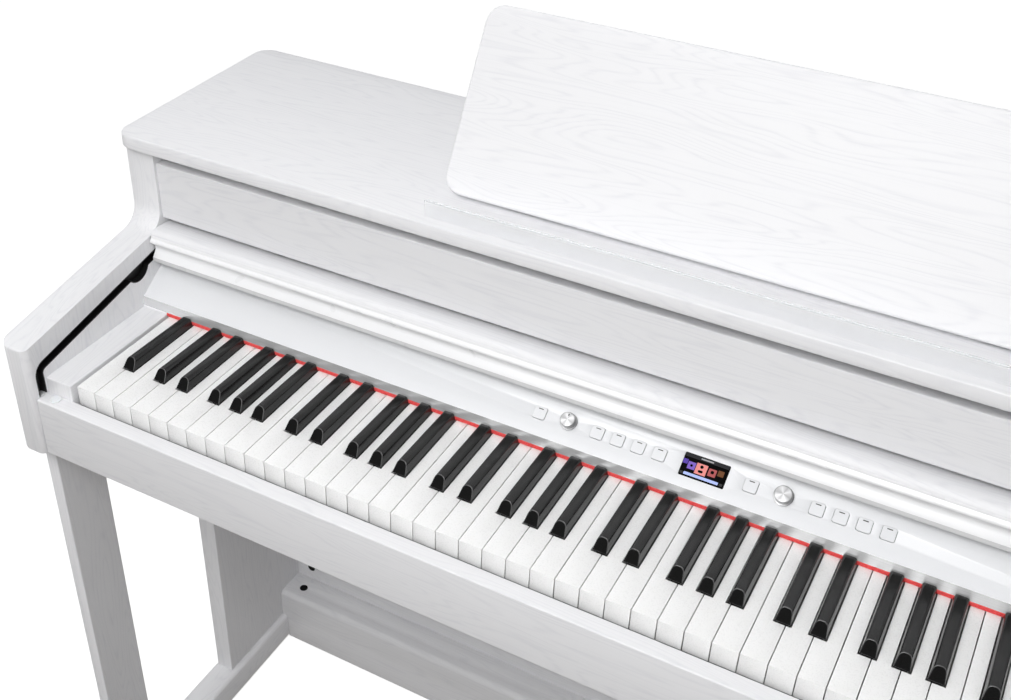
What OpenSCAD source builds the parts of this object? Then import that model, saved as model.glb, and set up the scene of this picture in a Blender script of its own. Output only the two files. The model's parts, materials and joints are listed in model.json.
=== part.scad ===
// Digital piano on a stand: cabinet with a sliding fallboard, 88 keys, a sloped control panel,
// a folding music desk, and a stand with two feet and three pedals.
// Origin: on the floor, at the centre of the outline. +Z is up and the player sits on the -Y side.
// Cross-sections are drawn as [y, z], measured from the front top edge of the white keys.

/* [Cabinet] */
// Width over the two side panels
cabinet_w = 1366; // [1356:2:1380]
// Depth from the nose of the arms to the back edge of the top board
cabinet_d = 475.5; // [470:0.5:480]
// Height of the white key tops above the floor
key_height = 735; // [715:1:755]
// Thickness of each side panel
side_t = 36; // [34:1:38]
// Distance from the nose of the arms back to the front of the keys
nose_l = 28; // [27:0.5:30]
// Slope of the top of the arms, in degrees
arm_slope = 9.7; // [9:0.1:10]
// Thickness of the boards that close the cabinet
board_t = 18; // [16:1:18]
// Underside of the top board above the keys
top_z = 177.5; // [174:0.5:184]
// Thickness of the top board
top_t = 15.5; // [14:0.5:18]

/* [Keyboard] */
// Width of one white key with its gap
key_pitch = 23.5; // [23.4:0.05:23.6]
// Gap between two white keys
key_gap = 1; // [0.8:0.1:1.2]
// Height of a black key above the white ones, at its front
black_h = 12; // [11:0.5:13]
// Height of a black key above the white ones, at its back
black_back_h = 8.5; // [8:0.5:9.5]
// Width of a black key at its base
black_w = 14.3; // [13.5:0.1:14.5]

/* [Fallboard] */
// Slope of the tracks that the fallboard slides in, in degrees
track_slope = 11.6; // [11:0.1:12]
// Width of the slot in each side panel
slot_w = 11; // [10:0.5:12]
// Depth of the slot
slot_d = 9; // [8:0.5:10]
// Diameter of the guide pins
pin_d = 8; // [7:0.1:8]

/* [Control panel] */
// Slope of the panel, in degrees
panel_slope = 34.05; // [33:0.05:35]
// Side of a square button
button_w = 12.6; // [11:0.1:13]
// Distance between neighbouring buttons
button_pitch = 20.9; // [20:0.1:21.5]
// How far a button stands out of the panel
button_out = 1.2; // [1.1:0.1:1.4]

/* [Music desk] */
// Width of the desk
desk_w = 630; // [560:5:660]
// Height of the desk along its slope
desk_h = 185.7; // [150:1:195]
// Thickness of the desk
desk_t = 15; // [12:1:16]
// Tilt of the desk back from upright, in degrees
desk_tilt = 30.2; // [28:0.1:32]

/* [Stand] */
// Height of the foot bars, without their glides
foot_h = 45; // [40:1:50]
// Width of the foot bars
foot_w = 38; // [36:1:40]

/* [Hidden] */
$fn = 48;

// Frame of the cross-sections
key_y = nose_l - cabinet_d / 2;
half_w = cabinet_w / 2;
inner_x = half_w - side_t;
floor_z = -key_height;
bed_z = -87;
bed_top = bed_z + board_t;
back_y = cabinet_d - nose_l;
side_back = back_y - 2.5;
back_t = 6;
board_top = top_z + top_t;
top_front = 178.5;
top_r = 19;
slip_y = [-24, -6.5];
slip_top = -15.5;

// Side panels: the arms slope up to a cove under the top board
arm_top = [-26, 46.1];
rise_y = 192;
cove_r = 25.5;
nose_r = 3;
corner_r = 16;
inner_r = 8;

// Keys
white_count = 52;
keys_w = white_count * key_pitch;
white_l = 228;
white_t = 18;
front_drop = 23;
front_t = 3;
black_y = 48;
black_end = 145.5;
black_foot = 0.4;
black_top_w = 9.6;
black_stick_w = 9;
black_stick_t = 16;
black_cut = black_w + 1.6;
pivot = [222, -14];
pivot_r = 2;
bore_play = 0.06;
middle_c = 23;
octave = 7;

// Key blocks, felt and key frame
block_gap = 2.5;
block_top = 2.5;
felt_y = [145.7, 151];
felt_z = [0.4, 4.75];
frame_y = [6, 240];
frame_t = 3;
cheek_t = 2;

// Tracks: a centre line that rises, turns and runs back along the slope
track_c = [-3, 8.3];
track_r = 10.5;
track_l = 430;
track_play = 0.3;
track_wall = 1.2;
notch_c = [146, 52.9];
notch_r = 17.6;

// Fallboard, placed along the tracks (t) and square to them (h)
fall_half = inner_x - 1.5;
fall_t = [220, 405];
fall_h = [12.1, 21.1];
pin_t = [230, 350];
bracket_in = 3;
bracket_t = 3;
bracket_h = [-5, fall_h[0]];

// Control panel: its sloped face starts at panel_o, places on it are s up the slope and h off it
panel_o = [149.2, 14.1];
panel_l = 46;
panel_t = 3;
panel_lip = [146.2, 4.8];
panel_foot = 6;
row_s = 22.5;
knob_s = 23.4;
cutter_h = 12;
button_r = 2;
button_gap = 0.35;
screen = [43.2, 22.8];
screen_s = 22.35;
left_buttons = [for (i = [3:-1:0]) -44.1 - i * button_pitch];
right_buttons = [for (i = [0:3]) 104.8 + i * button_pitch];
button_x = concat([-167.2], left_buttons, [44.1], right_buttons);
volume_x = -137;
dial_x = 74;
volume_r = 7.4;
dial_r = 8;
shaft_r = 3;
circuit = [380, 26, 1.6];
circuit_s = 17;
circuit_h = -11.4;
post_x = [31, 183];

// Music desk and its hinges
desk_foot = [231, 200.9];
desk_r = 19;
desk_axis = [250.8, 197.1];
hinge_x = 220;
hinge_w = 60;
knuckle_w = 20;
knuckle_r = 3.4;
hinge_pin_r = 1.5;
leaf_w = 19.2;
leaf_t = 2;
leaf_l = 25;
stop_half = 310;
stop_h = 17;

// Stand
foot_x0 = half_w + 1.5 - foot_w;
glide_h = 2;
foot_top = floor_z + glide_h + foot_h;
foot_y = [-20, 440];
leg_y = [-1.4, 63.5];
leg_w = 20;
leg_r = 8;
panel_y = [222, 440];
stand_x = [half_w - 28, half_w - 2];
beam_y = [350, 396];
beam_z = [-732, -640];
beam_r = 8;
pedal_pitch = 75;
pedal_pivot = [380, -692];
pedal_pin_r = 3;
pedal_w = [18, 29];
pedal_y = [276, 322, 344];
pedal_t = 7;
box_cavity = [130, 366, 397];
bolt_x = half_w - 54;
bolt_y = 373;
bolt_z = -617;
bolt_r = 4.7;
bolt_sink = 4;

// Works inside
speaker = [450, 330];
speaker_r = 58;
slat_pitch = 11;
inlet_x = -480;
inlet = [60, 40, 26];
socket_r = 3.5;
socket_l = 14;

wood_white = [0.93, 0.93, 0.93];
silver_white = [0.87, 0.88, 0.9];
metal_grey = [0.7, 0.7, 0.72];
black = [0.06, 0.06, 0.06];

module at_keys() translate([0, key_y, key_height]) children();
module pair() { children(); mirror([1, 0, 0]) children(); }
// Box between two corners
module slab(x, y, z) translate([x[0], y[0], z[0]]) cube([x[1] - x[0], y[1] - y[0], z[1] - z[0]]);
// Cross-section [y, z] drawn out from x[0] to x[1]
module along_x(x) translate([x[0], 0, 0]) rotate([90, 0, 90]) linear_extrude(x[1] - x[0]) children();
module rod_x(x, c, r) translate([x[0], c[0], c[1]]) rotate([0, 90, 0]) cylinder(h = x[1] - x[0], r = r);
function turn(c, r, a) = c + r * [cos(a), sin(a)];
function arc(c, r, a0, a1, n = 8) = [for (i = [0:n]) turn(c, r, a0 + (a1 - a0) * i / n)];
module round_rect(w, h, r) {
    square([w - 2 * r, h], center = true);
    square([w, h - 2 * r], center = true);
    for (x = [-1, 1], y = [-1, 1]) translate([x * (w / 2 - r), y * (h / 2 - r)]) circle(r);
}

// ---- side panels with the fallboard slots ----
function arm_z(y) = arm_top[1] + tan(arm_slope) * (y - arm_top[0]);
cove_c = [rise_y - cove_r, arm_z(rise_y - cove_r) + cove_r / cos(arm_slope)];
nose_c = [nose_r - nose_l, arm_z(nose_r - nose_l) - nose_r / cos(arm_slope)];
side_outline = concat(
    [[-nose_l, bed_z]],
    arc(nose_c, nose_r, 180, 90 + arm_slope),
    arc(cove_c, cove_r, arm_slope - 90, 0, 10),
    [[rise_y, top_z], [side_back, top_z], [side_back, bed_z]]);
bend = 90 + track_slope;
track_v = [cos(track_slope), sin(track_slope)];
track_n = [-track_v[1], track_v[0]];
track_o = turn(track_c, track_r, bend);
function on_slope(t, h = 0) = track_o + t * track_v + h * track_n;
function slot_outline(w, l = track_l) = concat(
    [[track_c[0] - track_r - w / 2, slip_top]],
    arc(track_c, track_r + w / 2, 180, bend),
    [on_slope(l, w / 2), on_slope(l, -w / 2)],
    arc(track_c, track_r - w / 2, bend, 180),
    [[track_c[0] - track_r + w / 2, slip_top]]);
notch = arc(notch_c, notch_r, 200, 350, 12);
module side_shape() intersection() {
    along_x([-half_w, -inner_x]) polygon(side_outline);
    translate([0, 0, bed_z - 1]) linear_extrude(top_z - bed_z + 2) {
        translate([-half_w, corner_r - nose_l]) square([side_t, side_back + nose_l]);
        translate([corner_r - half_w, inner_r - nose_l]) square([side_t - corner_r, corner_r]);
        translate([corner_r - half_w, -nose_l]) square([side_t - corner_r - inner_r, corner_r]);
        translate([corner_r - half_w, corner_r - nose_l]) circle(corner_r);
        translate([-inner_x - inner_r, inner_r - nose_l]) circle(inner_r);
    }
}
module side_panel() color(wood_white) difference() {
    side_shape();
    along_x([-inner_x - slot_d, 1 - inner_x]) polygon(slot_outline(slot_w));
    along_x([-inner_x - slot_d, 1 - inner_x]) polygon(notch);
}
module side_panel_left() at_keys() side_panel();
module side_panel_right() at_keys() mirror([1, 0, 0]) side_panel();

// Black plastic channels that line the slots
module fallboard_tracks() at_keys() pair() color(black) difference() {
    along_x([-inner_x - slot_d, -inner_x]) {
        polygon(slot_outline(slot_w));
        polygon(notch);
    }
    translate([track_wall, 0, 0]) along_x([-inner_x - slot_d, -inner_x]) {
        polygon(slot_outline(pin_d + 2 * track_play, track_l - track_wall));
        translate([0, track_wall]) polygon(notch);
    }
}

// ---- cabinet boards ----
module key_slip() at_keys() color(wood_white) slab([-inner_x, inner_x], slip_y, [bed_z + 1, slip_top]);
module slip_bumpers() at_keys() pair() color([0.96, 0.96, 0.95])
    translate([17.4 - inner_x, -13.8, slip_top]) cylinder(h = 2, r = 5.75);
module key_bed() at_keys() color(wood_white) difference() {
    slab([-inner_x, inner_x], [slip_y[1], side_back - back_t], [bed_z, bed_top]);
    pair() translate([speaker[0], speaker[1], bed_z - 1]) cylinder(h = board_t + 2, r = speaker_r);
}
// Blocks beside the keys, with a ledge at the back that carries the control panel
module key_blocks() at_keys() pair() color(wood_white) {
    x = [-inner_x, -keys_w / 2 - block_gap];
    slab(x, [slip_y[1] + 0.1, felt_y[1]], [bed_top, block_top]);
    slab(x, [felt_y[0] + 0.6, felt_y[1]], [block_top - 1, panel_lip[1]]);
}
module front_board() at_keys() color(wood_white) slab([-inner_x, inner_x], [195, 210], [92, 158.5]);
module top_board() at_keys() color(wood_white) translate([0, (top_front + back_y) / 2, top_z])
    linear_extrude(top_t) round_rect(cabinet_w + 4, back_y - top_front, top_r);
module back_panel() at_keys() color([0.85, 0.85, 0.84])
    slab([-inner_x, inner_x], [side_back - back_t, side_back], [bed_z, top_z]);
// A box under the key bed with a round socket in its rear face
module power_inlet() at_keys() translate([inlet_x, side_back - 5, bed_z]) color(black) difference() {
    slab([-inlet[0] / 2, inlet[0] / 2], [-inlet[1], 0], [-inlet[2], 0]);
    translate([0, -socket_l, -inlet[2] / 2]) rotate([-90, 0, 0]) cylinder(h = socket_l + 1, r = socket_r);
}
module book_stop() at_keys() color([0.8, 0.88, 0.95, 0.5])
    slab([-stop_half, stop_half], [190, 193], [board_top, board_top + stop_h]);

// ---- control panel, in its own sloped frame ----
module on_panel(x = 0, s = 0, h = 0) translate([x, panel_o[0], panel_o[1]])
    rotate([panel_slope, 0, 0]) translate([0, s, h]) children();
panel_v = [cos(panel_slope), sin(panel_slope)];
panel_n = [-panel_v[1], panel_v[0]];
panel_end = panel_o + panel_l * panel_v;
panel_back = panel_end[0] + 2;
panel_outline = [
    panel_lip, panel_o, panel_end, [panel_back, panel_end[1] - 1], [panel_back, panel_foot],
    [panel_back - panel_t, panel_foot], panel_end - panel_t * panel_n - 2 * panel_v,
    panel_o - panel_t * panel_n + 2 * panel_v, panel_lip + [panel_t, 0]];
module control_panel() at_keys() color(silver_white) {
    difference() {
        along_x([-inner_x, inner_x]) polygon(panel_outline);
        for (x = button_x) on_panel(x, row_s, -cutter_h / 2) linear_extrude(cutter_h)
            round_rect(button_w + 2 * button_gap, button_w + 2 * button_gap, button_r + button_gap);
        on_panel(0, screen_s, -cutter_h / 2) linear_extrude(cutter_h)
            round_rect(screen[0] + 0.4, screen[1] + 0.4, 1.2);
        for (x = [volume_x, dial_x]) on_panel(x, knob_s, -cutter_h / 2)
            cylinder(h = cutter_h, r = shaft_r + bore_play);
    }
    pair() for (x = post_x) on_panel(x, circuit_s, circuit_h + circuit[2])
        cylinder(h = -circuit_h - circuit[2] - panel_t + 0.1, r = 2.5);
}
module display_screen() at_keys() color([0.05, 0.05, 0.07])
    on_panel(0, screen_s, -panel_t) linear_extrude(panel_t + 0.25) round_rect(screen[0], screen[1], 1);
// A square cap with a plunger that reaches down to its switch
module button(i) at_keys() color(silver_white) on_panel(button_x[i], row_s) {
    translate([0, 0, -panel_t]) linear_extrude(panel_t + button_out) round_rect(button_w, button_w, button_r);
    translate([0, 0, -7]) cylinder(h = 7 - panel_t, r = 2);
}
// A spun cap over a thin flange, on a shaft through the panel
module knob(x, r) at_keys() color(metal_grey) on_panel(x, knob_s) {
    translate([0, 0, 0.4]) cylinder(h = 1.2, r = r + 1.3);
    translate([0, 0, 1.6]) cylinder(h = 6.9, r = r);
    translate([0, 0, -8]) cylinder(h = 8.4, r = shaft_r);
}
module volume_knob() knob(volume_x, volume_r);
module data_dial() knob(dial_x, dial_r);
module circuit_board() at_keys() {
    color([0.05, 0.3, 0.15]) on_panel(0, circuit_s, circuit_h)
        linear_extrude(circuit[2]) round_rect(circuit[0], circuit[1], 1);
    color(black) for (x = button_x) on_panel(x, row_s, circuit_h + circuit[2])
        linear_extrude(1.2) square(6, center = true);
}
// Red felt strip behind the black keys, under the lip of the panel
module key_felt() at_keys() color([0.8, 0.05, 0.05])
    slab([0.1 - keys_w / 2 - block_gap, keys_w / 2 + block_gap - 0.1], felt_y, felt_z);

// ---- fallboard: a moulded front rail on a thin board that slides on four pins ----
module on_track(t = 0, h = 0) translate([0, track_o[0], track_o[1]])
    rotate([track_slope, 0, 0]) translate([0, t, h]) children();
// From its foot up: a sloped flat, a cove, a bead and a round crown
moulding_outline = concat(
    [[169.8, 49.4], [170.2, 54]],
    arc([169.5, 63.9], 6.5, -37, 52),
    arc([172, 74.3], 3.1, -65, -240, 10),
    arc([179, 79], 7.5, 185, 94),
    [[201.2, 85.1], on_slope(fall_t[0], fall_h[1]), on_slope(fall_t[0], fall_h[0] - 2),
        [200, 68], [181, 50.4]]);
module fallboard_moulding() at_keys() color(wood_white)
    along_x([-fall_half, fall_half]) polygon(moulding_outline);
module fallboard_board() at_keys() color(wood_white) on_track()
    slab([-fall_half, fall_half], fall_t, fall_h);
// Two pins a side on a flat bracket under the board
module fallboard_pins() at_keys() pair() color(metal_grey) {
    for (t = pin_t)
        rod_x([1.6 - inner_x - slot_d, bracket_in + bracket_t - fall_half], on_slope(t), pin_d / 2);
    on_track() slab([bracket_in - fall_half, bracket_in + bracket_t - fall_half],
        [fall_t[0] + 2, pin_t[1] + 8], bracket_h);
}

// ---- music desk ----
module on_desk() translate([0, desk_foot[0], desk_foot[1]]) rotate([90 - desk_tilt, 0, 0]) children();
module music_desk() at_keys() color(wood_white) on_desk() translate([0, desk_h / 2, -desk_t])
    linear_extrude(desk_t) round_rect(desk_w, desk_h, desk_r);
// Knuckle, upright web and foot plate on the top board, with the hinge pin
module desk_hinges() at_keys() pair() color(metal_grey) {
    knuckle_x = [hinge_x - knuckle_w / 2, hinge_x + knuckle_w / 2];
    foot_x = [hinge_x - hinge_w / 2, hinge_x + hinge_w / 2];
    difference() {
        union() {
            rod_x(knuckle_x, desk_axis, knuckle_r);
            slab(knuckle_x, [desk_axis[0], desk_axis[0] + 4], [board_top, desk_axis[1]]);
            slab(foot_x, [desk_axis[0] + 4, desk_axis[0] + 24], [board_top, board_top + 1.5]);
        }
        rod_x([knuckle_x[0] - 1, knuckle_x[1] + 1], desk_axis, hinge_pin_r);
    }
    rod_x(foot_x, desk_axis, hinge_pin_r);
}
module desk_leaves() at_keys() pair() color(metal_grey) difference() {
    for (s = [-1, 1]) translate([hinge_x + s * knuckle_w - leaf_w / 2, 0, 0]) {
        rod_x([0, leaf_w], desk_axis, knuckle_r);
        on_desk() translate([0, 5, -desk_t - leaf_t]) cube([leaf_w, leaf_l, leaf_t]);
    }
    rod_x([hinge_x - hinge_w / 2 - 1, hinge_x + hinge_w / 2 + 1], desk_axis, hinge_pin_r + bore_play);
}

// ---- stand ----
module stand_panels() at_keys() pair() color(wood_white)
    slab([-stand_x[1], -stand_x[0]], panel_y, [foot_top, bed_z]);
module front_legs() at_keys() pair() color(wood_white)
    translate([-half_w, 0, foot_top]) linear_extrude(bed_z - foot_top) {
        translate([0, leg_y[0] + leg_r]) square([leg_w, leg_y[1] - leg_y[0] - leg_r]);
        translate([leg_r, leg_y[0]]) square([leg_w - leg_r, leg_r + 1]);
        translate([leg_r, leg_y[0] + leg_r]) circle(leg_r);
    }
module foot_bars() at_keys() pair() color(wood_white)
    slab([-foot_x0 - foot_w, -foot_x0], foot_y, [floor_z + glide_h, foot_top]);
module glides() at_keys() color([0.2, 0.2, 0.2]) {
    pair() for (y = [foot_y[0] + 25, foot_y[1] - 25])
        translate([-foot_x0 - foot_w / 2, y, floor_z]) cylinder(h = glide_h, r = 12);
    translate([0, bolt_y, floor_z]) cylinder(h = beam_z[0] - floor_z, r = 14);
}
beam_outline = concat(
    [[beam_y[1], beam_z[0]], [beam_y[1], beam_z[1]]],
    arc([beam_y[0] + beam_r, beam_z[1] - beam_r], beam_r, 90, 180, 6),
    [[beam_y[0], beam_z[0]]]);
pedal_x = [-pedal_pitch, 0, pedal_pitch];
module pedal_box() at_keys() color(wood_white) difference() {
    union() {
        along_x([0.2 - foot_x0, foot_x0 - 0.2]) polygon(beam_outline);
        intersection() {
            along_x([-stand_x[0], stand_x[0]]) polygon(beam_outline);
            slab([-stand_x[0], stand_x[0]], [beam_y[0] - 1, beam_y[1] + 1], [foot_top, beam_z[1] + 1]);
        }
    }
    // The cavity, less the bracket plates that carry the pivot
    difference() {
        slab([-box_cavity[0], box_cavity[0]], [box_cavity[1], box_cavity[2]], [-726, -655]);
        for (x = pedal_x, s = [-1, 1])
            slab([x + s * 12 - 2, x + s * 12 + 2], [box_cavity[1], box_cavity[2]], [-728, -652]);
    }
    for (x = pedal_x) slab([x - 17, x + 17], [beam_y[0] - 1, box_cavity[1] + 1], [-716, -682]);
    rod_x([-125, 125], pedal_pivot, pedal_pin_r + bore_play);
    pair() translate([bolt_x, bolt_y, beam_z[1] - 14]) cylinder(h = 15, r = bolt_r);
}
module pedal(i) at_keys() color([0.85, 0.7, 0.35]) translate([pedal_x[i], 0, 0]) {
    rod_x([-14, 14], pedal_pivot, pedal_pin_r);
    rod_x([-pedal_w[0] / 2, pedal_w[0] / 2], pedal_pivot, 6);
    translate([0, 0, pedal_pivot[1] - 5]) linear_extrude(pedal_t) {
        pair() polygon([
            [-1, pedal_pivot[0]], [pedal_w[0] / 2, pedal_pivot[0]], [pedal_w[0] / 2, pedal_y[2]],
            [pedal_w[1] / 2, pedal_y[1]], [pedal_w[1] / 2, pedal_y[0]], [-1, pedal_y[0]]]);
        translate([0, pedal_y[0]]) circle(pedal_w[1] / 2);
    }
}
module lower_back_board() at_keys() color(wood_white) difference() {
    slab([-stand_x[0], stand_x[0]], [beam_y[1], beam_y[1] + 15], [foot_top + 0.5, -330]);
    pair() translate([bolt_x, beam_y[1] - 1, bolt_z]) rotate([-90, 0, 0]) cylinder(h = 9, r = bolt_r);
}
// Bolts at the bottom of their counterbores
module fasteners() at_keys() pair() color(black) {
    translate([bolt_x, bolt_y, beam_z[1] - 14]) cylinder(h = 14 - bolt_sink, r = bolt_r - 0.2);
    translate([bolt_x, beam_y[1] + bolt_sink, bolt_z]) rotate([-90, 0, 0])
        cylinder(h = 4, r = bolt_r - 0.2);
}

// ---- works inside ----
function slat_half(i) = 0.8 * speaker_r * cos(i * 16);
module speakers() at_keys() pair() translate([speaker[0], speaker[1], 0]) color(black) {
    translate([0, 0, bed_z - 3]) difference() {
        cylinder(h = 3, r = speaker_r + 6);
        for (i = [-4:4]) translate([-slat_half(i), i * slat_pitch - 2, -1]) cube([2 * slat_half(i), 4, 5]);
    }
    translate([0, 0, bed_top]) rotate_extrude()
        polygon([[46, 0], [62, 0], [62, 4], [30, 34], [30, 56], [0, 56], [0, 30], [20, 30]]);
}
module key_frame() at_keys() color([0.5, 0.5, 0.52]) {
    keys_x = [-keys_w / 2, keys_w / 2];
    slab(keys_x, frame_y, [bed_top, bed_top + frame_t]);
    slab(keys_x, [14, 30], [bed_top + frame_t, -28.6]);
    slab(keys_x, [232, frame_y[1]], [bed_top + frame_t, -20]);
    pair() difference() {
        slab([keys_x[1] + 0.2, keys_x[1] + 0.2 + cheek_t], [205, frame_y[1]], [bed_top, -4]);
        rod_x([keys_x[1], keys_x[1] + cheek_t + 1], pivot, pivot_r);
    }
    rod_x([keys_x[0] - cheek_t - 0.2, keys_x[1] + cheek_t + 0.2], pivot, pivot_r);
}

// ---- keys ----
// k counts white keys from the left; k % 7 is the note, from A
function has_black(k) = k < white_count - 1 && len(search(k % octave, [0, 2, 3, 5, 6])) > 0;
function in_middle(k) = k >= middle_c && k < middle_c + octave;
function black_shift(k) = lookup(k % octave, [[0, 3.2], [2, -3], [3, 3], [5, -3.7], [6, 0]]);
function black_x(k) = (k + 1) * key_pitch - keys_w / 2 + black_shift(k);
module white_key(k) color([0.97, 0.97, 0.96]) difference() {
    translate([k * key_pitch - keys_w / 2 + key_gap / 2, 0, 0]) {
        slab([0, key_pitch - key_gap], [0, white_l], [-white_t, 0]);
        slab([0, key_pitch - key_gap], [0, front_t], [-front_drop, 1 - white_t]);
    }
    for (b = [k - 1, k]) if (b >= 0 && has_black(b))
        slab([black_x(b) - black_cut / 2, black_x(b) + black_cut / 2], [black_y - 1, white_l + 1],
            [-white_t - 1, 1]);
    rod_x([k * key_pitch - keys_w / 2, (k + 1) * key_pitch - keys_w / 2], pivot, pivot_r + bore_play);
}
// Its top falls to the back, its sides lean in, and a stick under it reaches the pivot
module black_key(k) color([0.07, 0.07, 0.07]) translate([black_x(k), 0, 0]) difference() {
    union() {
        intersection() {
            along_x([-black_w / 2, black_w / 2]) polygon([
                [black_y, black_foot], [black_y + 7, black_h - 1], [black_y + 8.5, black_h],
                [black_end, black_back_h], [black_end, black_foot]]);
            translate([0, black_end + 1, 0]) rotate([90, 0, 0]) linear_extrude(black_end) polygon([
                [-black_w / 2, black_foot], [-black_top_w / 2, black_h],
                [black_top_w / 2, black_h], [black_w / 2, black_foot]]);
        }
        slab([-black_stick_w / 2, black_stick_w / 2], [black_y + 4, white_l],
            [-black_stick_t, black_foot]);
    }
    rod_x([-black_w, black_w], pivot, pivot_r + bore_play);
}
module white_note(i) at_keys() white_key(middle_c + i);
module black_note(i) at_keys() black_key(middle_c + i);
module white_keys() at_keys() for (k = [0:white_count - 1]) if (!in_middle(k)) white_key(k);
module black_keys() at_keys() for (k = [0:white_count - 1])
    if (has_black(k) && !in_middle(k)) black_key(k);

side_panel_left();
side_panel_right();
fallboard_tracks();
key_blocks();
key_bed();
key_slip();
slip_bumpers();
key_felt();
control_panel();
display_screen();
front_board();
top_board();
book_stop();
desk_hinges();
back_panel();
stand_panels();
front_legs();
foot_bars();
pedal_box();
lower_back_board();
speakers();
circuit_board();
power_inlet();
glides();
key_frame();
fasteners();
fallboard_moulding();
fallboard_board();
fallboard_pins();
music_desk();
desk_leaves();
volume_knob();
data_dial();
pedal(0);  // pedal_left
pedal(1);  // pedal_middle
pedal(2);  // pedal_right
button(0);  // button_1
button(1);  // button_2
button(2);  // button_3
button(3);  // button_4
button(4);  // button_5
button(5);  // button_6
button(6);  // button_7
button(7);  // button_8
button(8);  // button_9
button(9);  // button_10
white_note(0);  // key_c4
black_note(0);  // key_c_sharp4
white_note(1);  // key_d4
black_note(1);  // key_d_sharp4
white_note(2);  // key_e4
white_note(3);  // key_f4
black_note(3);  // key_f_sharp4
white_note(4);  // key_g4
black_note(4);  // key_g_sharp4
white_note(5);  // key_a4
black_note(5);  // key_a_sharp4
white_note(6);  // key_b4
white_keys();
black_keys();
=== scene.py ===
import json
import math

import bmesh
import bpy
from mathutils import Matrix, Vector


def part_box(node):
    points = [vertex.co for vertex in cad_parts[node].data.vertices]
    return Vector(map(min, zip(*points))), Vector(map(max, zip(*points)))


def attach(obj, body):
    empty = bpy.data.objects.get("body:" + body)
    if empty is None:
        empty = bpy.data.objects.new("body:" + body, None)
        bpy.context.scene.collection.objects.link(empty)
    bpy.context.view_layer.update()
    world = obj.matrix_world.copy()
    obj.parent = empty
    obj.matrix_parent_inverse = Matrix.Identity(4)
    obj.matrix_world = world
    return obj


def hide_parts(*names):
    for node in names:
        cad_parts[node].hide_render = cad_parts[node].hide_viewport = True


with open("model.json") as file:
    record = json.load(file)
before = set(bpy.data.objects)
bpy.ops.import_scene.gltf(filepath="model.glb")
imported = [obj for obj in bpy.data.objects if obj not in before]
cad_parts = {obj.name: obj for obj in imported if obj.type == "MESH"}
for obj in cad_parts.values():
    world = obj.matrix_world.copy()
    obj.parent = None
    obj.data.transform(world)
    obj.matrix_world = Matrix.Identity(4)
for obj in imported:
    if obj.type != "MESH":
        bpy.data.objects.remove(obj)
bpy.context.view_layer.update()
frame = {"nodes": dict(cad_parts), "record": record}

MM = 0.001
SCENE = bpy.context.scene
SLOT_OF = {s["node"]: s["material_slot"] for s in frame["record"]["subparts"]}


# ---------------------------------------------------------------- camera, light and floor

def make_camera():
    """The camera stands in front of the keys, right of their middle, and looks down to the bass end."""
    data = bpy.data.cameras.new("camera")
    data.lens = 45.62
    data.sensor_width = 36.0
    data.shift_x = 0.0561
    data.shift_y = -0.0291
    camera = bpy.data.objects.new("camera", data)
    camera.location = (0.2242, -0.93695, 1.5374)
    camera.rotation_euler = [math.radians(a) for a in (55.50, -0.579, 29.28)]
    SCENE.collection.objects.link(camera)
    SCENE.camera = camera


def area_light(name, place, aim, size, power, colour=(1, 1, 1)):
    """A rectangular lamp at place, turned to face aim. Power is in watts."""
    data = bpy.data.lights.new(name, "AREA")
    data.shape = "RECTANGLE"
    data.size, data.size_y = size
    data.energy = power
    data.color = colour
    lamp = bpy.data.objects.new(name, data)
    lamp.location = place
    lamp.rotation_euler = (Vector(aim) - Vector(place)).to_track_quat("-Z", "Y").to_euler()
    SCENE.collection.objects.link(lamp)


def make_sky():
    """Even white light from above, and a dim return from below the horizon."""
    world = bpy.data.worlds.new("studio")
    SCENE.world = world
    world.use_nodes = True
    nodes, links = world.node_tree.nodes, world.node_tree.links
    height = nodes.new("ShaderNodeSeparateXYZ")
    links.new(nodes.new("ShaderNodeTexCoord").outputs["Generated"], height.inputs[0])
    ramp = nodes.new("ShaderNodeValToRGB")
    ramp.color_ramp.elements[0].position = 0.0
    ramp.color_ramp.elements[0].color = (0.122, 0.112, 0.103, 1)
    ramp.color_ramp.elements[1].position = 0.12
    ramp.color_ramp.elements[1].color = (0.385, 0.385, 0.389, 1)
    links.new(height.outputs["Z"], ramp.inputs["Fac"])
    links.new(ramp.outputs["Color"], nodes["Background"].inputs["Color"])


def make_stage():
    """Sky, lamps and a pale floor with a glow of its own."""
    make_sky()
    area_light("key_light", (-1.1, -1.05, 3.45), (-0.1, 0, 0.85), (1.6, 1.4), 12)
    area_light("front_light", (-0.6, -3.2, 2.2), (0, 0, 0.7), (1.8, 1.6), 20)
    area_light("near_light", (-0.1, -1.35, 2.15), (-0.05, 0, 0.78), (0.9, 0.6), 18)
    area_light("right_light", (3.2, -0.8, 1.7), (-0.5, 0, 0.75), (1.4, 1.2), 8)
    area_light("rear_light", (-0.9, 1.8, 2.7), (-0.1, 0, 0.85), (2.6, 1.2), 10, (0.97, 0.98, 1.0))
    SCENE.view_settings.view_transform = "Standard"
    bpy.ops.mesh.primitive_plane_add(size=30, location=(0, 0, 0))
    floor = bpy.context.object
    floor.name = "floor"
    paint = Shader("floor_paint", (0.5, 0.5, 0.5), 0.8,
                   Emission_Color=(1, 1, 1, 1), Emission_Strength=0.8)
    floor.data.materials.append(paint.mat)
    floor.visible_diffuse = False


# ---------------------------------------------------------------- materials

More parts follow.
